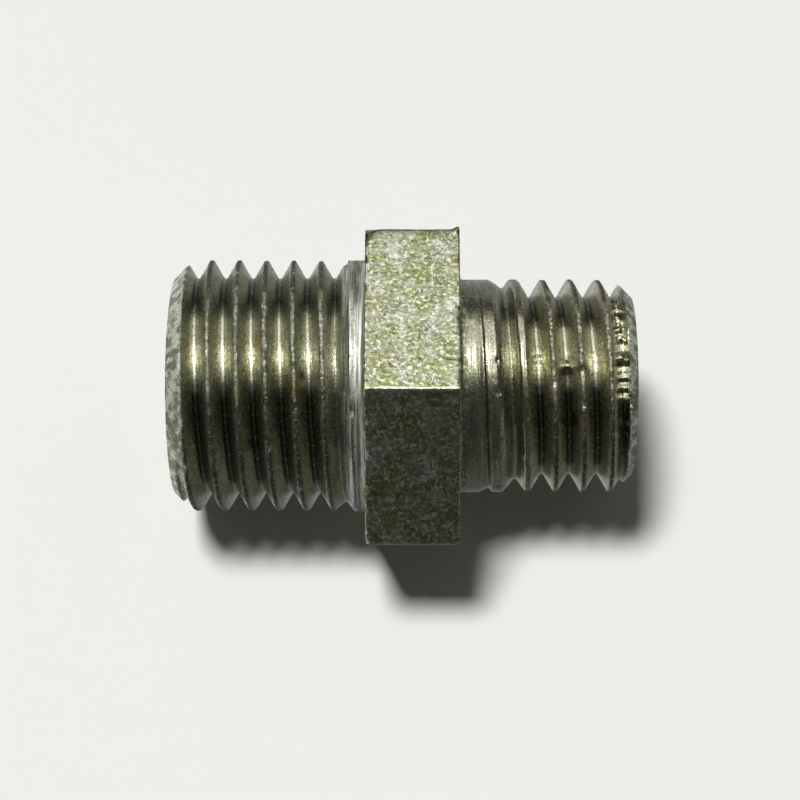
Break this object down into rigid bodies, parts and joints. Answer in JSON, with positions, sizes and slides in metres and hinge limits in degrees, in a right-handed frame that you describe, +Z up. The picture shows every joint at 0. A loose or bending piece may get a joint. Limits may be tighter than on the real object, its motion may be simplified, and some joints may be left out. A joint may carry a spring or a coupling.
{
  "type": "hex nipple",
  "caption": "Short reducing pipe nipple with a hexagon between a larger and a smaller parallel male thread, bored right through.",
  "frame": {"origin": "on the axis of the bore, in the middle of the hexagon's width", "axes": "+X along the axis towards the smaller threaded end, -X towards the larger one, +Z up, square to the hexagon's upper flat"},
  "size_m": [0.025, 0.0194, 0.0168],
  "materials": {
    "thread_steel": "cut threads in grey-green steel, dull, with brighter crests and roots",
    "hexagon_steel": "grey-green steel with finely pitted, slightly rough flats"
  },
  "bodies": {
    "root": {"large_thread_end": "thread_steel", "wrench_hexagon": "hexagon_steel", "small_thread_end": "thread_steel"}
  },
  "joints": []
}
